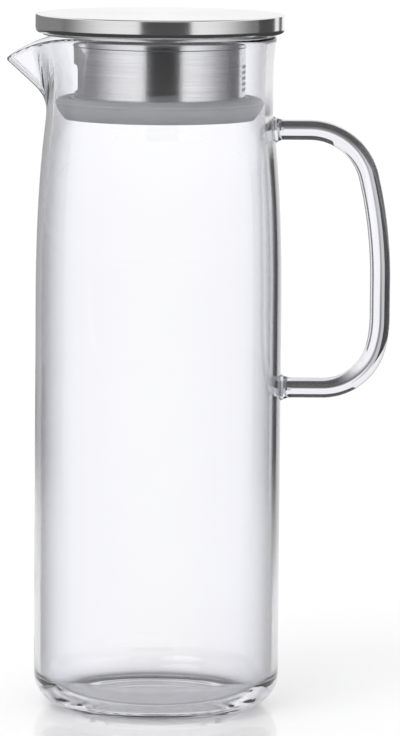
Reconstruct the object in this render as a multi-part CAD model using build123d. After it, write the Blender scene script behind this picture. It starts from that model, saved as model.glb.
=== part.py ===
from build123d import *
import math
import os

# Glass pitcher with a steel lid. Millimetres. The axis is Z, the base stands on Z = 0,
# the spout points to -X and the handle to +X.

# Vessel
body_r = 50.0           # outside radius of the straight body
body_wall = 2.5
body_h = 165.0          # base to the start of the shoulder
shoulder_h = 77.0       # shoulder, drawn in slowly and eased quickly into the neck
shoulder_ease = 52.0    # pull of the shoulder curve along the body
neck_ease = 5.0         # pull of the shoulder curve along the neck
neck_r = 46.0           # outside radius of the straight neck
neck_wall = 3.3
neck_h = 31.2           # end of the shoulder to the rim
heel_r = 12.7           # outside rounding of the bottom edge
floor_t = 5.0           # glass above the standing ring
foot_w = 7.0            # flat ring that the base stands on
punt_h = 1.6            # hollow under the base
rim_flat = 0.5          # flat left between the lip's two melted edges

# Spout
spout_rise = 6.5        # start of the neck to where the spout's underside leaves it
spout_h = 15.0          # from there up to the lip's end
spout_lean = 47.5       # the spout's underside, degrees from vertical
spout_flank = 30.0      # each flank to the pouring direction, degrees
spout_tip_r = 6.0       # outside rounding of the lip, seen from above
spout_wall = 2.6        # glass of the spout, drawn thinner than the neck
spout_blend_r = 12.0    # hollow blend between spout and neck
spout_dip = 30.0        # length over which the rim dips to the lip

# Handle
rod_r = 4.1
handle_drop = 37.7      # rim to the axis of the upper run
handle_span = 105.0     # axis of the upper run to axis of the lower run
handle_reach = 43.9     # grip's axis beyond the neck
grip_top = 40.8         # upper run to the upper corner of the grip
grip_low = 22.5         # lower run to the lower corner of the grip
grip_top_in = 9.3       # how far the upper run's corner lies inside the grip
grip_low_in = 6.1       # how far the lower run's corner lies inside the grip
handle_top_r = 24.7     # bend at the upper run
handle_low_r = 22.2     # bend at the lower run
root_r = 5.4            # welded root of the handle at the wall
root_l = 4.6            # length over which the root tapers to the rod

# Lid
sheet = 0.8             # steel sheet of cap and underplate
seat_gap = 0.3          # rim to underplate
pan_depth = 1.6         # underplate's pressed depth
cap_over = 4.4          # cap beyond the neck
cap_h = 7.7
cap_edge_r = 0.7        # rounding of the cap's top edge
roll_r = 2.1            # rolled lower edge of the cap
roll_w = 3.0            # width of the rolled edge, seen from below
pan_gap = 0.2           # underplate to rolled edge

# Strainer collar
neck_gap = 8.1          # room between neck and collar
collar_wall = 0.6
collar_h = 32.0
band_h = 4.2            # raised band under the lid
band_step = 0.4
hem_w = 1.6             # lower edge, turned outwards
window_w = 24.4
window_h = 11.3
window_r = 2.4
window_sill = 2.0       # seal to window
hole_r = 0.85
hole_pitch = 2.3
hole_rows = 5
hole_columns = 10
hole_sill = 2.9         # seal to strainer holes

# Seal
seal_gap = 0.2          # collar to seal
lip_gap = 0.25          # lip to neck
sleeve_h = 7.0          # sleeve above the collar's lower edge
sleeve_wall = 1.5
foot_t = 1.6            # seal below the collar's lower edge
foot_r = 3.4            # seal's foot beyond the collar
lip_h = 4.6             # lip above the collar's lower edge
lip_t = 1.1
skirt_bulge = 0.6       # outward bow of the seal below the lip
dish_d = 1.3            # hollow between lip and sleeve

# Places that follow from the sizes
neck_z = body_h + shoulder_h
rim_z = neck_z + neck_h
neck_in = neck_r - neck_wall
spout_z = neck_z + spout_rise
tip_z = spout_z + spout_h
spout_out = math.tan(math.radians(spout_lean))  # spout's reach for each unit of height
spout_reach = spout_h * spout_out
rim_r = (spout_wall - rim_flat) / 2
seat_z = rim_z + seat_gap
cap_r = neck_r + cap_over
cap_z = seat_z + pan_depth - sheet
collar_r = neck_in - neck_gap
collar_z = seat_z - collar_h
band_r = collar_r + band_step
hem_r = collar_r + hem_w
sleeve_z = collar_z + sleeve_h
over = 4.0              # spare length of cutting tools


def turned(profile):
    """A closed outline in X and Z, turned about the axis."""
    return revolve(Plane.XZ * make_face(profile), Axis.Z)


def wall_curve(r_body, r_neck):
    """One side of the vessel from the shoulder to above the rim."""
    shoulder = Bezier(
        (r_body, body_h),
        (r_body, body_h + shoulder_ease),
        (r_neck, neck_z - neck_ease),
        (r_neck, neck_z),
    )
    neck = Line((r_neck, neck_z), (r_neck, rim_z + over))
    return [shoulder, neck, Line((r_neck, rim_z + over), (0, rim_z + over))]


def vessel_outside():
    ring_r = body_r - heel_r
    ring_in = ring_r - foot_w
    punt_r = (ring_in**2 + punt_h**2) / (2 * punt_h)
    punt = CenterArc((0, punt_h - punt_r), punt_r, 90, -math.degrees(math.asin(ring_in / punt_r)))
    ring = Line((ring_in, 0), (ring_r, 0))
    heel = CenterArc((ring_r, heel_r), heel_r, -90, 90)
    side = Line((body_r, heel_r), (body_r, body_h))
    axis = Line((0, rim_z + over), (0, punt_h))
    return turned([punt, ring, heel, side, *wall_curve(body_r, neck_r), axis])


def vessel_inside():
    r = body_r - body_wall
    bend = heel_r - body_wall
    floor = Line((0, floor_t), (r - bend, floor_t))
    heel = CenterArc((r - bend, floor_t + bend), bend, -90, 90)
    side = Line((r, floor_t + bend), (r, body_h))
    axis = Line((0, rim_z + over), (0, floor_t))
    return turned([floor, heel, side, *wall_curve(r, neck_in), axis])


def spout_section(z, inset):
    """Flat outline of the spout: a rounded tip between two straight flanks, closed inside the neck."""
    a = math.radians(spout_flank)
    front = neck_r + (z - spout_z) * spout_out - inset * math.hypot(1, spout_out)
    tip_r = spout_tip_r - inset
    tangent = (tip_r - front - tip_r * math.sin(a), tip_r * math.cos(a))
    back_x = -neck_in / 2
    back_y = tangent[1] + (back_x - tangent[0]) * math.tan(a)
    flank = Line((back_x, back_y), tangent)
    tip = ThreePointArc(tangent, (-front, 0), (tangent[0], -tangent[1]))
    other = Line((tangent[0], -tangent[1]), (back_x, -back_y))
    back = Line((back_x, -back_y), (back_x, back_y))
    return Plane.XY.offset(z) * make_face([flank, tip, other, back])


def spout_form(inset):
    """The spout as a solid beak; the inset, square to its underside, gives its hollow."""
    low = spout_z - over
    high = rim_z + over
    return loft([spout_section(low, inset), spout_section(high, inset)], ruled=True)


def on_neck(edge, r_neck):
    """Whether an edge climbs along the neck, as the spout's seam does."""
    points = [edge @ 0, edge @ 0.5, edge @ 1]
    slanted = edge.geom_type not in (GeomType.CIRCLE, GeomType.LINE)
    return slanted and all(abs(math.hypot(p.X, p.Y) - r_neck) < 0.01 for p in points)


def blended(vessel, beak, r_neck):
    """Vessel and beak joined, with a hollow blend along their seam."""
    seam = [e for e in (vessel + beak).edges() if on_neck(e, r_neck)]
    return fillet(seam, spout_blend_r)


def above_rim():
    """Everything above the rim: level all round, dipping in an arc to the lip."""
    drop = rim_z - tip_z
    dip_r = (spout_dip**2 + drop**2) / (2 * drop)
    turn = math.degrees(math.asin(spout_dip / dip_r))
    tip_x = -neck_r - spout_reach
    start_x = tip_x + spout_dip
    high = rim_z + 2 * over
    arc = CenterArc((start_x, rim_z - dip_r), dip_r, 90, turn)
    end = arc @ 1 + (arc % 1) * (neck_r + spout_reach)
    sides = Polyline(arc @ 1, end, (end.X, high), (2 * neck_r, high), (2 * neck_r, rim_z), arc @ 0)
    return extrude(Plane.XZ * make_face([arc, sides]), 2 * neck_r, both=True)


def glass_body():
    outside = blended(vessel_outside(), spout_form(0), neck_r)
    inside = blended(vessel_inside(), spout_form(spout_wall), neck_in)
    glass = outside - inside - above_rim()
    level = [f for f in glass.faces().filter_by(GeomType.PLANE) if f.center().Z > tip_z]
    round_faces = glass.faces().filter_by(GeomType.CYLINDER)
    dip = [f for f in round_faces if abs(f.axis_of_rotation.direction.Y) > 0.5]
    rim = [e for f in level + dip for e in f.edges() if e.geom_type != GeomType.LINE]
    return fillet(rim, rim_r)


def easy_radius(before, corner, after, room):
    """The largest bend at a corner that uses the given length of its runs."""
    turn = math.radians((corner - before).get_angle(after - corner))
    return room / math.tan(turn / 2)


def glass_handle():
    top = rim_z - handle_drop
    low = top - handle_span
    x = neck_r + handle_reach
    a = Vector(neck_in, top)
    b = Vector(x - grip_top_in, top)
    c = Vector(x, top - grip_top)
    d = Vector(x, low + grip_low)
    e = Vector(x - grip_low_in, low)
    f = Vector(neck_in, low)
    b_use = handle_top_r * math.tan(math.radians((b - a).get_angle(c - b)) / 2)
    e_use = handle_low_r * math.tan(math.radians((e - d).get_angle(f - e)) / 2)
    c_room = min((c - b).length - b_use, (d - c).length / 2) * 0.96
    d_room = min((e - d).length - e_use, (d - c).length / 2) * 0.96
    bends = [handle_top_r, easy_radius(b, c, d, c_room), easy_radius(c, d, e, d_room), handle_low_r]
    path = Plane.XZ * FilletPolyline(a, b, c, d, e, f, radius=bends)
    rod = sweep(Plane(path @ 0, z_dir=path % 0) * Circle(rod_r), path)
    return rod + root(neck_r, top) + root(body_r, low) - vessel_outside()


def root(r_wall, z):
    """Flared end of the rod, melted onto the wall."""
    widen = root_r - rod_r
    bend = (root_l**2 + widen**2) / (2 * widen)
    end = r_wall + root_l
    start = r_wall - neck_wall
    flare = CenterArc((end, rod_r + bend), bend, -90, -math.degrees(math.asin(root_l / bend)))
    sides = Polyline((r_wall, root_r), (start, root_r), (start, 0), (end, 0), (end, rod_r))
    return Pos(Z=z) * revolve(Plane.XZ * make_face([flare, sides]), Axis.X)


def lid_cap():
    """Pressed cover with its lower edge rolled under."""
    top = cap_z + cap_h
    edge = CenterArc((cap_r - cap_edge_r, top - cap_edge_r), cap_edge_r, 90, -90)
    roll = CenterArc((cap_r - roll_r, cap_z + roll_r), roll_r, 0, -90)
    side = Line(edge @ 1, roll @ 0)
    inner_r = cap_r - sheet
    inner_roll = CenterArc((cap_r - roll_r, cap_z + roll_r), roll_r - sheet, 0, -90)
    outline = [Line((0, top), edge @ 0), edge, side, roll]
    lip = Polyline(roll @ 1, (cap_r - roll_w, cap_z), (cap_r - roll_w, cap_z + sheet), inner_roll @ 1)
    hollow = Polyline(inner_roll @ 0, (inner_r, top - sheet), (0, top - sheet), (0, top))
    return turned([*outline, lip, inner_roll, hollow])


def lid_underplate():
    """Shallow pan that closes the cap, with its flange on the rolled edge."""
    pan_r = cap_r - roll_w - pan_gap
    flange_r = cap_r - roll_r
    flange_z = seat_z + pan_depth
    below = Polyline((0, seat_z), (pan_r, seat_z), (pan_r, flange_z), (flange_r, flange_z))
    above = Polyline(
        (flange_r, flange_z),
        (flange_r, flange_z + sheet),
        (pan_r - sheet, flange_z + sheet),
        (pan_r - sheet, seat_z + sheet),
        (0, seat_z + sheet),
        (0, seat_z),
    )
    return turned([below, above])


def strainer_collar():
    """Drawn cup, mouth down, with a pouring window and rows of strainer holes."""
    inner = collar_r - collar_wall
    band_z = seat_z - band_h
    cup = turned(
        [
            Polyline(
                (0, seat_z),
                (band_r, seat_z),
                (band_r, band_z),
                (collar_r, band_z - band_step),
                (collar_r, collar_z + collar_wall),
                (hem_r, collar_z + collar_wall),
                (hem_r, collar_z),
                (inner, collar_z),
                (inner, seat_z - collar_wall),
                (0, seat_z - collar_wall),
                close=True,
            )
        ]
    )
    window_z = sleeve_z + window_sill + window_h / 2
    towards_spout = Plane((0, 0, window_z), x_dir=(0, -1, 0), z_dir=(-1, 0, 0))
    window = extrude(towards_spout * RectangleRounded(window_w, window_h, window_r), collar_r + over)
    return cup - window - strainer_holes()


def strainer_holes():
    """Drills for the strainer, square to the collar's wall, in rows towards the handle."""
    step = math.degrees(hole_pitch / collar_r)
    first_z = sleeve_z + hole_sill + hole_r
    drill = Pos(X=collar_r) * Rot(Y=90) * Cylinder(hole_r, over)
    drills = []
    for row in range(hole_rows):
        for column in range(hole_columns):
            turn = (column - (hole_columns - 1) / 2) * step
            drills.append(Rot(Z=turn) * Pos(Z=first_z + row * hole_pitch) * drill)
    return drills


def seal_ring():
    """Soft ring on the collar's lower edge, with a flared lip against the neck."""
    foot_z = collar_z - foot_t
    lip_r = neck_in - lip_gap
    lip_z = collar_z + lip_h
    lip_x = lip_r - lip_t / 2
    inner = collar_r - collar_wall
    bore = collar_r + seal_gap
    groove = hem_r + seal_gap
    sleeve_r = bore + sleeve_wall
    skirt = SagittaArc((collar_r + foot_r, foot_z), (lip_x, lip_z), -skirt_bulge)
    lip = ThreePointArc((lip_x, lip_z), (lip_r, lip_z + lip_t / 2), (lip_x, lip_z + lip_t))
    dish = SagittaArc((lip_x, lip_z + lip_t), (sleeve_r, lip_z + lip_t), -dish_d)
    inside = Polyline(
        (sleeve_r, lip_z + lip_t),
        (sleeve_r, sleeve_z),
        (bore, sleeve_z),
        (bore, collar_z + collar_wall + seal_gap),
        (groove, collar_z + collar_wall + seal_gap),
        (groove, collar_z - seal_gap),
        (inner, collar_z - seal_gap),
        (inner, foot_z),
        (collar_r + foot_r, foot_z),
    )
    return turned([skirt, lip, dish, inside])


os.makedirs("parts", exist_ok=True)
nodes = {
    "glass_body": glass_body,
    "glass_handle": glass_handle,
    "lid_cap": lid_cap,
    "lid_underplate": lid_underplate,
    "strainer_collar": strainer_collar,
    "seal_ring": seal_ring,
}
for name, make in nodes.items():
    export_step(make(), f"parts/{name}.step")
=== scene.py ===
import math

import bmesh
import bpy
import numpy as np
from mathutils import Matrix, Vector


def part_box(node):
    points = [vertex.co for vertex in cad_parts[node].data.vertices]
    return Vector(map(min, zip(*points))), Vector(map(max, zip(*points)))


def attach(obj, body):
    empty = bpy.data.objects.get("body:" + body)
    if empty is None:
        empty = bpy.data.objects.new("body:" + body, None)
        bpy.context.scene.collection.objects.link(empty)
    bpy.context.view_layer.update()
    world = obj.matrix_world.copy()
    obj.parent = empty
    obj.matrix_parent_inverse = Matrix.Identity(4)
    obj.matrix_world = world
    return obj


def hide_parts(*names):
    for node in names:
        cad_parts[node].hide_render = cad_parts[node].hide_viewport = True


# Glass pitcher with a steel lid, in metres. The axis is Z, the spout points to -X, the handle to +X.
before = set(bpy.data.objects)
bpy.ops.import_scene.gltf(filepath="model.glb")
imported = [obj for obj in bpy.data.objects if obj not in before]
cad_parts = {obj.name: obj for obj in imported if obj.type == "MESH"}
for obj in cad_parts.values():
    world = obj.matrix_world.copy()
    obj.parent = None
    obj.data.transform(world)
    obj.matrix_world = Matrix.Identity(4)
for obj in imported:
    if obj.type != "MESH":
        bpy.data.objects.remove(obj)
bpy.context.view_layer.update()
scene = bpy.context.scene
_, glass_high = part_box("glass_body")
_, handle_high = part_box("glass_handle")

# Vessel
body_r = glass_high.y
body_wall = 0.0025
body_h = 0.165
shoulder_h = 0.077
shoulder_ease = 0.052
neck_ease = 0.005
neck_r = 0.046
neck_wall = 0.0033
heel_r = 0.0127
floor_t = 0.005
foot_w = 0.007
punt_h = 0.0016
rim_round = 0.0014
rim_z = glass_high.z
neck_z = body_h + shoulder_h
neck_in = neck_r - neck_wall

# Spout
spout_rise = 0.0065
spout_z = neck_z + spout_rise
spout_h = 0.015
spout_lean = math.radians(47.5)
spout_out = math.tan(spout_lean)
spout_reach = spout_h * spout_out
spout_flank = math.radians(30)
spout_widest = math.radians(80)
spout_tip_r = 0.006
spout_wall = 0.0026
spout_dip = 0.030

# Blend between spout and neck, which widens from under the spout to its flanks
spout_blend = 0.0075
flank_blend = 0.018
widen_from = math.radians(7)
widen_over = math.radians(18)

# Handle
rod_r = 0.0041
root_r = 0.0054
root_l = 0.0046
root_gap = 0.00004
handle_drop = 0.0377
handle_span = 0.105
handle_top = rim_z - handle_drop
handle_foot = handle_top - handle_span
handle_top_r = 0.0247
handle_low_r = 0.0222
grip_x = handle_high.x - rod_r
grip_top = 0.0408
grip_low = 0.0225
grip_top_in = 0.0093
grip_low_in = 0.0061
grip_bend_share = 0.96


def placed(name, data):
    """A new object in the scene."""
    piece = bpy.data.objects.new(name, data)
    scene.collection.objects.link(piece)
    return piece


def new_mesh(name, points, faces):
    mesh = bpy.data.meshes.new(name)
    mesh.from_pydata(points, [], faces)
    return mesh


def mesh_piece(name, rings, poles):
    """A smooth piece skinned over closed rings of points, from one pole to the other."""
    count = len(rings[0])
    last = (len(rings) - 1) * count
    points = [tuple(p) for ring in rings for p in ring]
    faces = []
    for a in range(0, last, count):
        b = a + count
        for j in range(count):
            k = (j + 1) % count
            faces.append((a + j, a + k, b + k, b + j))
    for pole, start in zip(poles, (0, last)):
        points.append(tuple(pole))
        faces += [(start + j, start + (j + 1) % count, len(points) - 1) for j in range(count)]
    mesh = new_mesh(name, points, faces)
    shell = bmesh.new()
    shell.from_mesh(mesh)
    bmesh.ops.recalc_face_normals(shell, faces=shell.faces)
    shell.to_mesh(mesh)
    shell.free()
    mesh.polygons.foreach_set("use_smooth", [True] * len(mesh.polygons))
    return placed(name, mesh)


def arc(centre_r, centre_z, radius, start, end, steps):
    """Points of an arc in radius and height, without its first one; angles in degrees."""
    turns = np.radians(np.linspace(start, end, steps + 1)[1:])
    return np.column_stack([centre_r + radius * np.cos(turns), centre_z + radius * np.sin(turns)])


def run(start, end, steps):
    """Points of a straight run in radius and height, without its first one."""
    shares = np.linspace(0, 1, steps + 1)[1:, None]
    return np.array(start) + shares * (np.array(end) - np.array(start))


def shoulder(r_body, r_neck):
    """The drawn-in shoulder, as a dense row of points from body to neck."""
    rows = 400
    t = np.linspace(0, 1, rows)[:, None]
    a = np.array((r_body, body_h))
    b = np.array((r_body, body_h + shoulder_ease))
    c = np.array((r_neck, neck_z - neck_ease))
    d = np.array((r_neck, neck_z))
    return a * (1 - t) ** 3 + 3 * b * t * (1 - t) ** 2 + 3 * c * t**2 * (1 - t) + d * t**3


def wall_r(z, r_body, r_neck):
    """Radius of the plain wall at a height."""
    curve = shoulder(r_body, r_neck)
    return np.interp(z, curve[:, 1], curve[:, 0])


def smooth_max(a, b, blend):
    """The larger of two radii, with a hollow blend that starts and ends without a step in curvature."""
    near = np.maximum(1 - np.abs(a - b) / blend, 0)
    return np.maximum(a, b) + near**3 * blend / 6


def spout_r(turn, z, inset):
    """Radius of the spout's beak in a direction, measured from the pouring direction."""
    front = neck_r + (z - spout_z) * spout_out - inset * math.hypot(1, spout_out)
    tip_r = spout_tip_r - inset
    centre = front - tip_r
    touch = centre + tip_r * math.sin(spout_flank)
    across = np.minimum(np.abs(turn), spout_widest)
    slant = math.tan(spout_flank)
    flank = (tip_r * math.cos(spout_flank) + touch * slant) / (np.tan(across) + slant)
    tip = centre * np.cos(across) + np.sqrt(np.maximum(tip_r**2 - (centre * np.sin(across)) ** 2, 0))
    return np.where(flank <= touch, flank / np.cos(across), tip)


def glass_r(turn, z, inset):
    """Radius of the vessel's outside, or of its inside with the neck's wall as inset."""
    aside = np.clip((np.abs(turn) - widen_from) / widen_over, 0, 1)
    blend = spout_blend + (flank_blend - spout_blend) * aside**2 * (3 - 2 * aside)
    wall = wall_r(z, body_r - (body_wall if inset else 0), neck_r - inset)
    beak = spout_r(turn, z, spout_wall if inset else 0)
    return smooth_max(wall, beak, blend)


def rim_height(turn, inset):
    """Height at which the wall meets the rim, which dips in an arc to the lip."""
    tries = 60
    drop = rim_z - spout_z - spout_h
    dip_r = (spout_dip**2 + drop**2) / (2 * drop)
    z = np.full_like(turn, rim_z)
    for _ in range(tries):
        past = glass_r(turn, z, inset) * np.cos(turn) - (neck_r + spout_reach - spout_dip)
        cut = rim_z - dip_r + np.sqrt(dip_r**2 - np.clip(past, 0, spout_dip) ** 2)
        z = (z + cut) / 2
    return z


def glass_body():
    """The blown vessel: outside from the base up, over the rim and down the inside."""
    columns = 360
    crowding = 0.72
    base_steps = 12
    foot_steps = 6
    heel_steps = 24
    wall_steps = 30
    shoulder_steps = 45
    neck_rows = 56
    rim_steps = 12
    neck_lead = 0.006
    slope_step = 1e-5

    # The columns stand closer together towards the spout.
    even = np.linspace(-math.pi, math.pi, columns, endpoint=False)
    turn = even - crowding * np.sin(even)
    directions = np.column_stack([-np.cos(turn), np.sin(turn)])

    def level(r, z):
        return np.column_stack([directions * np.reshape(r, (-1, 1)), np.broadcast_to(z, (columns,))])

    neck_start = neck_z - neck_lead
    ring_r = body_r - heel_r
    ring_in = ring_r - foot_w
    punt_r = (ring_in**2 + punt_h**2) / (2 * punt_h)
    punt_turn = math.degrees(math.asin(ring_in / punt_r))
    inner_r = body_r - body_wall
    bend = heel_r - body_wall
    rise = np.linspace(body_h, neck_start, shoulder_steps + 1)[1:-1]
    first_row = body_h + (neck_start - body_h) / shoulder_steps
    outside = [
        *arc(0, punt_h - punt_r, punt_r, 90, 90 - punt_turn, base_steps),
        *run((ring_in, 0), (ring_r, 0), foot_steps),
        *arc(ring_r, heel_r, heel_r, -90, 0, heel_steps),
        *run((body_r, heel_r), (body_r, body_h), wall_steps),
        *[(wall_r(z, body_r, neck_r), z) for z in rise],
    ]
    inside = [
        *[(wall_r(z, inner_r, neck_in), z) for z in rise[::-1]],
        *run((inner_r, first_row), (inner_r, floor_t + bend), wall_steps)[1:],
        *arc(inner_r - bend, floor_t + bend, bend, 0, -90, heel_steps),
        *run((inner_r - bend, floor_t), (0, floor_t), base_steps)[:-1],
    ]

    # The wall stops short of the rim by the rim's rounding, along its own slope.
    tops = []
    for inset in (0, neck_wall):
        z = rim_height(turn, inset)
        lean = (glass_r(turn, z, inset) - glass_r(turn, z - slope_step, inset)) / slope_step
        along = np.column_stack([directions * lean[:, None], np.ones(columns)])
        along /= np.linalg.norm(along, axis=1)[:, None]
        tops.append((z - rim_round * along[:, 2], along))
    (top_out, along_out), (top_in, along_in) = tops
    shares = np.linspace(0, 1, neck_rows)
    heights_out = [neck_start + s * (top_out - neck_start) for s in shares]
    heights_in = [neck_start + s * (top_in - neck_start) for s in shares[::-1]]
    neck_outside = [level(glass_r(turn, z, 0), z) for z in heights_out]
    neck_inside = [level(glass_r(turn, z, neck_wall), z) for z in heights_in]

    up = (along_out + along_in) / 2
    middle = (neck_outside[-1] + neck_inside[0]) / 2
    half = (neck_outside[-1] - neck_inside[0]) / 2
    over = np.linspace(0, math.pi, rim_steps + 1)[1:-1]
    rim = [middle + half * math.cos(a) + up * rim_round * math.sin(a) for a in over]
    body_outside = [level(r, z) for r, z in outside]
    body_inside = [level(r, z) for r, z in inside]
    rings = body_outside + neck_outside + rim + neck_inside + body_inside
    return mesh_piece("glass_vessel", rings, poles=((0, 0, punt_h), (0, 0, floor_t)))


def rounded_line(corners, bends, step):
    """Points of a line in X and Z whose inner corners are rounded by the given bends."""
    fewest_in_bend = 6
    fewest_in_straight = 2
    points = [Vector(corners[0])]

    def go_straight(end):
        first = points[-1].copy()
        steps = max(fewest_in_straight, round((end - first).length / step))
        points.extend([first.lerp(end, i / steps) for i in range(1, steps + 1)])

    for before, corner, after, bend in zip(corners, corners[1:], corners[2:], bends):
        into = (Vector(corner) - Vector(before)).normalized()
        out = (Vector(after) - Vector(corner)).normalized()
        turn = into.angle(out)
        start = Vector(corner) - into * bend * math.tan(turn / 2)
        go_straight(start)
        centre = start + (out - into * into.dot(out)).normalized() * bend
        arm = start - centre
        steps = max(fewest_in_bend, round(bend * turn / step))
        for i in range(1, steps + 1):
            part = turn * i / steps
            points.append(centre + arm * math.cos(part) + into * bend * math.sin(part))
    go_straight(Vector(corners[-1]))
    return points


def half_turn_tan(before, corner, after):
    """Length that a bend takes from each side of a corner, for each metre of its radius."""
    turn = (Vector(corner) - Vector(before)).angle(Vector(after) - Vector(corner))
    return math.tan(turn / 2)


def handle_line():
    """The rod's middle line in X and Z, from the upper root to the lower one."""
    step = 0.0012
    a = (neck_r + root_l, handle_top)
    b = (grip_x - grip_top_in, handle_top)
    c = (grip_x, handle_top - grip_top)
    d = (grip_x, handle_foot + grip_low)
    e = (grip_x - grip_low_in, handle_foot)
    f = (body_r + root_l, handle_foot)
    half_grip = (Vector(c) - Vector(d)).length / 2
    left_at_top = (Vector(c) - Vector(b)).length - handle_top_r * half_turn_tan(a, b, c)
    left_at_foot = (Vector(e) - Vector(d)).length - handle_low_r * half_turn_tan(d, e, f)
    c_bend = min(left_at_top, half_grip) * grip_bend_share / half_turn_tan(b, c, d)
    d_bend = min(left_at_foot, half_grip) * grip_bend_share / half_turn_tan(c, d, e)
    return rounded_line([a, b, c, d, e, f], [handle_top_r, c_bend, d_bend, handle_low_r], step)


def glass_handle():
    """The bent rod with its flared roots against the wall."""
    count = 56
    flare_steps = 10
    face_shares = (0.25, 0.5, 0.75, 0.93, 1.0)
    crease = math.radians(50)
    around = np.linspace(0, 2 * math.pi, count, endpoint=False)
    widen = root_r - rod_r
    flare = (root_l**2 + widen**2) / (2 * widen)

    def seat(y, z):
        """X of the wall's outside, with the gap that keeps the root off it."""
        return np.sqrt(wall_r(z, body_r, neck_r) ** 2 - y**2) + root_gap

    def root(r_wall, z, spread):
        """Rings from the middle of the end face, over its edge and along the flare to the rod."""
        rings = []
        for share in face_shares:
            y = root_r * share * np.cos(around)
            height = z + root_r * share * np.sin(around) * spread
            rings.append(np.column_stack([seat(y, height), y, height]))
        for reach in np.linspace(0, root_l, flare_steps + 1)[1:-1]:
            r = rod_r + flare - math.sqrt(flare**2 - (root_l - reach) ** 2)
            y = r * np.cos(around)
            height = z + r * np.sin(around) * spread
            edge = seat(y, height)
            share = reach / root_l
            rings.append(np.column_stack([edge + (r_wall + root_l - edge) * share, y, height]))
        return rings

    line = handle_line()
    rings = root(neck_r, handle_top, 1)
    for i, point in enumerate(line):
        ahead = (line[min(i + 1, len(line) - 1)] - line[max(i - 1, 0)]).normalized()
        side = Vector((-ahead.y, ahead.x))
        x = point.x + rod_r * np.sin(around) * side.x
        z = point.y + rod_r * np.sin(around) * side.y
        rings.append(np.column_stack([x, rod_r * np.cos(around), z]))
    rings += root(body_r, handle_foot, -1)[::-1]
    ends = [(float(seat(0, z)), 0, z) for z in (handle_top, handle_foot)]
    piece = mesh_piece("glass_rod_handle", rings, poles=ends)
    piece.data.set_sharp_from_angle(angle=crease)
    return piece


def principled(name):
    material = bpy.data.materials.new(name)
    material.use_nodes = True
    nodes = material.node_tree.nodes
    return material, nodes, material.node_tree.links, nodes["Principled BSDF"]


def combine(nodes, links, operation, a, b=0.0):
    """A calculation or comparison with sockets or numbers."""
    step = nodes.new("ShaderNodeMath")
    step.operation = operation
    for socket, value in zip(step.inputs, (a, b)):
        if isinstance(value, (int, float)):
            socket.default_value = value
        else:
            links.new(value, socket)
    return step.outputs[0]


def times(nodes, links, a, b):
    return combine(nodes, links, "MULTIPLY", a, b)


def cool(level):
    """A grey with a touch of blue."""
    blue = 1.05
    return (level, level, min(1.0, level * blue), 1)


def clear_glass(name, wave_size, face_level, painted_edge_shade, roughness):
    """Blown glass: clear, a touch cool, with painted shade where it is seen edge on, very slightly wavy."""
    painted_shade_by_facing = ((0.3, 0.05), (0.48, 0.28), (0.68, 0.81))
    material, nodes, links, shader = principled(name)
    shader.inputs["Transmission Weight"].default_value = 1.0
    shader.inputs["IOR"].default_value = 1.47
    shader.inputs["Roughness"].default_value = roughness
    # Painted shade: the tint darkens the glass towards where it is seen edge on, for dark outlines at its
    # edges.
    edge = nodes.new("ShaderNodeLayerWeight")
    edge.inputs["Blend"].default_value = 0.5
    tint = nodes.new("ShaderNodeValToRGB")
    face_on, edge_on = tint.color_ramp.elements
    face_on.color = cool(face_level)
    edge_on.color = cool(face_level - painted_edge_shade)
    for facing, share in painted_shade_by_facing:
        tint.color_ramp.elements.new(facing).color = cool(face_level - share * painted_edge_shade)
    links.new(edge.outputs["Facing"], tint.inputs["Fac"])
    links.new(tint.outputs["Color"], shader.inputs["Base Color"])
    place = nodes.new("ShaderNodeTexCoord")
    wave = nodes.new("ShaderNodeTexNoise")
    wave.inputs["Scale"].default_value = wave_size
    wave.inputs["Detail"].default_value = 1.0
    bump = nodes.new("ShaderNodeBump")
    bump.inputs["Strength"].default_value = 0.05
    bump.inputs["Distance"].default_value = 0.001
    links.new(place.outputs["Object"], wave.inputs["Vector"])
    links.new(wave.outputs["Fac"], bump.inputs["Height"])
    links.new(bump.outputs["Normal"], shader.inputs["Normal"])
    return material


def steel(name, colour, roughness, brushed, contrast):
    """Stainless steel with fine marks round the axis, on its sides and on its flat faces."""
    marks_across = 2600.0
    marks_along = 25.0
    rough_spread = 0.2
    material, nodes, links, shader = principled(name)
    shader.inputs["Metallic"].default_value = 1.0
    shader.inputs["Anisotropic"].default_value = brushed
    place = nodes.new("ShaderNodeTexCoord")
    axes = nodes.new("ShaderNodeSeparateXYZ")
    links.new(place.outputs["Object"], axes.inputs["Vector"])
    x, y, z = axes.outputs
    squares = combine(nodes, links, "ADD", times(nodes, links, x, x), times(nodes, links, y, y))
    outwards = combine(nodes, links, "ADD", z, combine(nodes, links, "SQRT", squares))
    along = nodes.new("ShaderNodeCombineXYZ")
    links.new(times(nodes, links, x, marks_along), along.inputs["X"])
    links.new(times(nodes, links, y, marks_along), along.inputs["Y"])
    links.new(times(nodes, links, outwards, marks_across), along.inputs["Z"])
    streaks = nodes.new("ShaderNodeTexNoise")
    streaks.inputs["Scale"].default_value = 1.0
    streaks.inputs["Detail"].default_value = 4.0
    shade = nodes.new("ShaderNodeValToRGB")
    dark, light = shade.color_ramp.elements
    dark.position = 0.3
    dark.color = (*[(1 - contrast) * c for c in colour], 1)
    light.position = 0.7
    light.color = (*colour, 1)
    rough = nodes.new("ShaderNodeMapRange")
    rough.inputs["To Min"].default_value = roughness * (1 - rough_spread)
    rough.inputs["To Max"].default_value = roughness * (1 + rough_spread)
    round_axis = nodes.new("ShaderNodeTangent")
    round_axis.direction_type = "RADIAL"
    round_axis.axis = "Z"
    links.new(along.outputs["Vector"], streaks.inputs["Vector"])
    links.new(streaks.outputs["Fac"], shade.inputs["Fac"])
    links.new(shade.outputs["Color"], shader.inputs["Base Color"])
    links.new(streaks.outputs["Fac"], rough.inputs["Value"])
    links.new(rough.outputs["Result"], shader.inputs["Roughness"])
    links.new(round_axis.outputs["Tangent"], shader.inputs["Tangent"])
    return material


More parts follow.
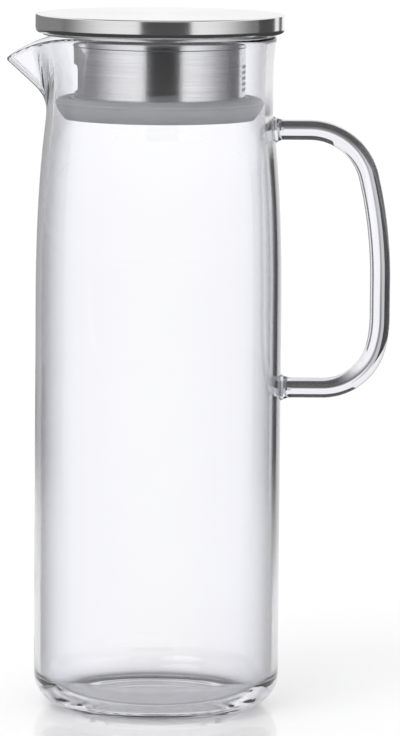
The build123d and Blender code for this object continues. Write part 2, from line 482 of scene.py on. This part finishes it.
def silicone():
    """Matt grey silicone, a little cloudy and translucent."""
    material, nodes, links, shader = principled("grey_silicone")
    shader.inputs["Roughness"].default_value = 0.42
    shader.inputs["Subsurface Weight"].default_value = 0.2
    shader.inputs["Subsurface Radius"].default_value = (0.002, 0.002, 0.002)
    place = nodes.new("ShaderNodeTexCoord")
    cloud = nodes.new("ShaderNodeTexNoise")
    cloud.inputs["Scale"].default_value = 60.0
    shade = nodes.new("ShaderNodeValToRGB")
    dark, light = shade.color_ramp.elements
    dark.color = (0.60, 0.61, 0.62, 1)
    light.color = (0.70, 0.71, 0.72, 1)
    links.new(place.outputs["Object"], cloud.inputs["Vector"])
    links.new(cloud.outputs["Fac"], shade.inputs["Fac"])
    links.new(shade.outputs["Color"], shader.inputs["Base Color"])
    return material


def dress(node, material):
    """Gives a CAD node its finish."""
    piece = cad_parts[node]
    piece.data.materials.clear()
    piece.data.materials.append(material)


def background_rays(nodes, links):
    """1 for the rays that see the background: the camera's own, and those that mirror or pass through."""
    path = nodes.new("ShaderNodeLightPath")
    mirrored = path.outputs["Is Glossy Ray"]
    passed = path.outputs["Is Transmission Ray"]
    bent = combine(nodes, links, "MAXIMUM", mirrored, passed)
    return combine(nodes, links, "MAXIMUM", path.outputs["Is Camera Ray"], bent)


def card_rays(nodes, links, kinds):
    """1 for rays of the given kinds, told apart by how they were mirrored or bent, and by glass crossed.

    skin: mirrored sharply by the glass outside, and so short that the floor hardly mirrors them
    steel: mirrored with blur, without glass on the way
    wall: mirrored, with one to three faces of glass crossed in all
    collar: mirrored, with four or more faces of glass crossed, such as the wall's in and out
    rod: bent with blur by the rod, and not mirrored
    """
    skin_reach = 0.21
    above_none = 0.5
    above_three = 3.5
    path = nodes.new("ShaderNodeLightPath")
    crossed = path.outputs["Transmission Depth"]
    sharp = path.outputs["Is Singular Ray"]
    blurred = combine(nodes, links, "SUBTRACT", 1.0, sharp)
    mirrored = combine(nodes, links, "GREATER_THAN", path.outputs["Glossy Depth"], above_none)
    straight = combine(nodes, links, "SUBTRACT", 1.0, mirrored)
    in_glass = combine(nodes, links, "GREATER_THAN", crossed, above_none)
    outside = combine(nodes, links, "LESS_THAN", crossed, above_none)
    beyond = combine(nodes, links, "GREATER_THAN", crossed, above_three)
    up_to_three = combine(nodes, links, "LESS_THAN", crossed, above_three)
    one_wall = times(nodes, links, in_glass, up_to_three)
    mirrored_outside = times(nodes, links, mirrored, outside)
    short = combine(nodes, links, "LESS_THAN", path.outputs["Ray Length"], skin_reach)
    sockets = {
        "skin": times(nodes, links, mirrored_outside, times(nodes, links, sharp, short)),
        "steel": times(nodes, links, mirrored_outside, blurred),
        "wall": times(nodes, links, mirrored, one_wall),
        "collar": times(nodes, links, mirrored, beyond),
        "rod": times(nodes, links, times(nodes, links, straight, one_wall), blurred),
    }
    shown = sockets[kinds[0]]
    for kind in kinds[1:]:
        shown = combine(nodes, links, "MAXIMUM", shown, sockets[kind])
    return shown


def fade(nodes, links, value, start, end, before=0.0, after=1.0):
    """A smooth step from one level to another while the value goes from start to end."""
    ramp = nodes.new("ShaderNodeMapRange")
    ramp.interpolation_type = "SMOOTHSTEP"
    ramp.inputs["From Min"].default_value = min(start, end)
    ramp.inputs["From Max"].default_value = max(start, end)
    ramp.inputs["To Min"].default_value = before if start < end else after
    ramp.inputs["To Max"].default_value = after if start < end else before
    links.new(value, ramp.inputs["Value"])
    return ramp.outputs["Result"]


def glowing(nodes, links, level):
    glow = nodes.new("ShaderNodeEmission")
    glow.inputs["Color"].default_value = (1, 1, 1, 1)
    links.new(level, glow.inputs["Strength"])
    return glow.outputs["Emission"]


def show_where(nodes, links, shown, hidden_shader, shown_shader):
    """Gives the material one shader where shown is 1 and the other where it is 0."""
    mix = nodes.new("ShaderNodeMixShader")
    links.new(shown, mix.inputs[0])
    links.new(hidden_shader, mix.inputs[1])
    links.new(shown_shader, mix.inputs[2])
    links.new(mix.outputs[0], nodes["Material Output"].inputs["Surface"])


def pale_world():
    """White where it is seen, a little softer as light."""
    world = bpy.data.worlds.new("studio")
    scene.world = world
    world.use_nodes = True
    nodes, links = world.node_tree.nodes, world.node_tree.links
    level = nodes.new("ShaderNodeMapRange")
    level.inputs["To Min"].default_value = 0.75
    level.inputs["To Max"].default_value = 1.0
    links.new(background_rays(nodes, links), level.inputs["Value"])
    links.new(level.outputs["Result"], nodes["Background"].inputs["Strength"])
    nodes["Background"].inputs["Color"].default_value = (1, 1, 1, 1)


def level_sheet(half_width, front, back, height):
    """Corners of a level sheet, with its front on the camera's side."""
    corners = [(-half_width, front), (half_width, front), (half_width, back), (-half_width, back)]
    return [(x, y, height) for x, y in corners]


def pale_floor():
    """Pale floor. Steel, collar and rod see a painted dark reflection in it, the rod only away from the
    object and not at its right."""
    half_size = 6.0
    gap = 0.0003
    painted_reflection_edge = (3.0, 1.7)
    painted_reflection_shade = 0.06
    rod_painted_reflection_from = (0.17, 0.22)
    rod_painted_reflection_right = (0.20, 0.10)
    rod_shade_span = (0.4, 2.3)
    rod_shades = (0.04, 0.5)
    mesh = new_mesh("floor", level_sheet(half_size, -half_size, half_size, -gap), [(0, 1, 2, 3)])
    floor = placed("floor", mesh)
    material, nodes, links, shader = principled("pale_floor")
    shader.inputs["Base Color"].default_value = (0.82, 0.82, 0.82, 1)
    shader.inputs["Roughness"].default_value = 0.0
    shader.inputs["Specular IOR Level"].default_value = 0.35
    shader.inputs["Emission Color"].default_value = (1, 1, 1, 1)
    glow = nodes.new("ShaderNodeMapRange")
    glow.inputs["To Min"].default_value = 0.0
    glow.inputs["To Max"].default_value = 0.2
    links.new(background_rays(nodes, links), glow.inputs["Value"])
    links.new(glow.outputs["Result"], shader.inputs["Emission Strength"])
    place = nodes.new("ShaderNodeTexCoord")
    distance = nodes.new("ShaderNodeVectorMath")
    distance.operation = "LENGTH"
    axes = nodes.new("ShaderNodeSeparateXYZ")
    links.new(place.outputs["Object"], distance.inputs[0])
    links.new(place.outputs["Object"], axes.inputs["Vector"])
    reach = distance.outputs["Value"]
    # Painted reflection: mirrored and bent rays see a dark glowing sheet here instead of the pale floor.
    away = fade(nodes, links, reach, *rod_painted_reflection_from)
    leftwards = fade(nodes, links, axes.outputs["X"], *rod_painted_reflection_right)
    rod_rays = card_rays(nodes, links, ["rod"])
    by_rod = times(nodes, links, times(nodes, links, away, leftwards), rod_rays)
    by_steel = card_rays(nodes, links, ["steel", "collar"])
    by_any = combine(nodes, links, "MAXIMUM", by_rod, by_steel)
    shown = times(nodes, links, by_any, fade(nodes, links, reach, *painted_reflection_edge))
    rod_shade = fade(nodes, links, reach, *rod_shade_span, *rod_shades)
    rod_level = times(nodes, links, rod_rays, rod_shade)
    painted_reflection = glowing(nodes, links, combine(nodes, links, "MAXIMUM", rod_level, painted_reflection_shade))
    show_where(nodes, links, shown, shader.outputs["BSDF"], painted_reflection)
    mesh.materials.append(material)


def panel(name, points, faces, kinds, shades, shade_span, edges=()):
    """A glowing card that only rays of the given kinds see, painting reflections into glass and steel. Its
    shade may change along Y, and it fades out at the given edges, each a height without and a height with the
    card."""
    mesh = new_mesh(name, points, faces)
    piece = placed(name, mesh)
    material, nodes, links, shader = principled(name)
    nodes.remove(shader)
    clear = nodes.new("ShaderNodeBsdfTransparent")
    place = nodes.new("ShaderNodeTexCoord")
    axes = nodes.new("ShaderNodeSeparateXYZ")
    links.new(place.outputs["Object"], axes.inputs["Vector"])
    shown = card_rays(nodes, links, kinds)
    for without, full in edges:
        shown = times(nodes, links, shown, fade(nodes, links, axes.outputs["Z"], without, full))
    level = fade(nodes, links, axes.outputs["Y"], *shade_span, *shades)
    show_where(nodes, links, shown, clear.outputs["BSDF"], glowing(nodes, links, level))
    mesh.materials.append(material)
    piece.visible_camera = False
    piece.visible_diffuse = False
    piece.visible_shadow = False


def card(name, turns, shade, kinds, low=0.0, high=0.5, soft=0.001, soft_top=0.0001, distance=1.1,
         lit=None, lit_turns=(100, 37)):
    """A card curved round the axis between two turns, in degrees from the camera's side. With lit it
    goes from its shade to that one between two other turns."""
    columns = 24
    angles = np.radians(np.linspace(*turns, columns))
    points = [(distance * math.sin(a), -distance * math.cos(a), z) for z in (low, high) for a in angles]
    faces = [(i, i + 1, columns + i + 1, columns + i) for i in range(columns - 1)]
    shades = (shade, shade if lit is None else lit)
    shade_span = [-distance * math.cos(math.radians(a)) for a in lit_turns]
    edges = ((low, low + soft), (high, high - soft_top))
    panel(name, points, faces, kinds, shades, shade_span, edges)


def ceiling(name, shade, kinds, half_width, front, back):
    """A flat glowing card overhead, for painted reflections."""
    height = 1.4
    points = level_sheet(half_width, front, back, height)
    panel(name, points, [(0, 1, 2, 3)], kinds, (shade, shade), (back, front))


def lid_cards():
    """Painted reflections in the lid, the collar and the glass round it: bright all round, dark at the front,
    dark at the flanks.
    """
    # Painted reflections: glowing cards that only mirrored rays see; the bright ones brighten towards the
    # front.
    card("card_bright_reflection_lid", (-100, 100), 0.2, ["steel"], low=0.02, soft=0.06, distance=1.3, lit=0.95)
    card("card_bright_reflection_collar", (-100, 100), 0.25, ["collar"], low=0.02, soft=0.06, distance=1.35, lit=1.2)
    card("card_front", (-17, 28), 0.08, ["steel"], low=0.04, soft=0.12)
    card("card_front_collar", (-18, 28.5), 0.03, ["collar"], low=0.04, soft=0.12)
    card("card_front_skin", (-10.5, 16.5), 0.03, ["skin", "wall"], low=0.2465, high=0.272, distance=0.11)
    card("card_left", (-164, -99), 0.26, ["steel", "collar"])
    card("card_right", (100, 130), 0.08, ["steel", "collar"])
    card("card_edge", (140, 150), 0.08, ["steel"])


def rod_cards():
    """Painted bands that the rod bends into view: dark at the left, a light band behind, two grey ones at the
    right.
    """
    card("card_rod_left", (-169, -86), 0.03, ["rod"], high=0.2, lit=0.15, lit_turns=(135, 86))
    card("card_rod_soft", (-180, -169), 0.6, ["rod"], high=0.2)
    card("card_rod_right", (98, 123), 0.5, ["rod"], high=0.45, distance=0.5)
    card("card_rod_line", (131, 142), 0.22, ["rod"], high=0.45, distance=0.5)


def glass_cards():
    """Painted reflections in the vessel's wall and its outer skin where they are seen edge on."""
    near = {"soft": 0.06, "distance": 0.2}
    under_neck = {"high": 0.242, "soft_top": 0.02}
    card("card_wall_left", (-164, -132), 0.74, ["wall"], **near)
    card("card_wall_right", (129, 146), 0.12, ["wall"], **near, **under_neck)
    card("card_wall_edge", (146, 184), 0.42, ["wall"], soft=0.06, distance=0.205, **under_neck)
    skin = {"low": 0.045, "soft": 0.04, "soft_top": 0.02, "distance": 0.2}
    card("card_skin_left", (-152, -88), 0.26, ["skin"], high=0.26, **skin)
    card("card_skin_right", (89, 117), 0.08, ["skin"], high=0.235, **skin)
    card("card_skin_edge", (122, 136), 0.08, ["skin"], high=0.235, **skin)


def ceiling_cards():
    """Painted reflections from above in the rod and the lid's top."""
    ceiling("card_ceiling_rod", 0.05, ["rod"], half_width=0.8, front=-0.4, back=3.2)
    ceiling("card_ceiling_lid", 0.28, ["steel"], half_width=1.5, front=-1.3, back=0.35)


def softbox():
    """One large soft lamp, high at the front left."""
    aim = Vector((0, 0, 0.1))
    light = bpy.data.lights.new("softbox", "AREA")
    light.shape = "DISK"
    light.size = 1.2
    light.energy = 10
    lamp = placed("softbox", light)
    lamp.location = (-0.7, -0.9, 1.7)
    lamp.rotation_euler = (aim - lamp.location).to_track_quat("-Z", "Y").to_euler()
    lamp.visible_glossy = False


def photo_camera():
    """The photograph's view: from the side, a little from above."""
    stand = (0.0171246, -1.92865, 0.38865)
    look_down = 0.12917
    roll = 0.0078
    lens = bpy.data.cameras.new("camera")
    lens.lens = 233.98
    lens.sensor_width = 36.0
    lens.clip_start = 0.05
    camera = placed("camera", lens)
    tilted = Matrix.Rotation(math.pi / 2 - look_down, 4, "X")
    rolled = Matrix.Rotation(roll, 4, "Z")
    camera.matrix_world = Matrix.Translation(stand) @ tilted @ rolled
    scene.camera = camera


scene.view_settings.view_transform = "Standard"
scene.cycles.max_bounces = 32
scene.cycles.glossy_bounces = 16
scene.cycles.transmission_bounces = 24
photo_camera()
pale_world()
pale_floor()
softbox()
lid_cards()
rod_cards()
glass_cards()
ceiling_cards()

vessel_glass = clear_glass("clear_vessel_glass", wave_size=40, face_level=0.99, painted_edge_shade=0.64, roughness=0.0)
rod_glass = clear_glass("clear_rod_glass", wave_size=70, face_level=0.9, painted_edge_shade=0.2, roughness=0.02)
for piece, node, material, slot in (
    (glass_body(), "glass_body", vessel_glass, "vessel_glass"),
    (glass_handle(), "glass_handle", rod_glass, "handle_glass"),
):
    piece.data.materials.append(material)
    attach(piece, "vessel")
    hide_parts(node)

cap_colour = (0.84, 0.84, 0.845)
pan_colour = (0.78, 0.78, 0.785)
collar_colour = (0.74, 0.74, 0.745)
dress("lid_cap", steel("satin_steel", cap_colour, roughness=0.14, brushed=0.3, contrast=0.06))
dress("lid_underplate", steel("pan_steel", pan_colour, roughness=0.25, brushed=0.3, contrast=0.06))
dress("strainer_collar", steel("brushed_steel", collar_colour, roughness=0.18, brushed=0.6, contrast=0.14))
dress("seal_ring", silicone())
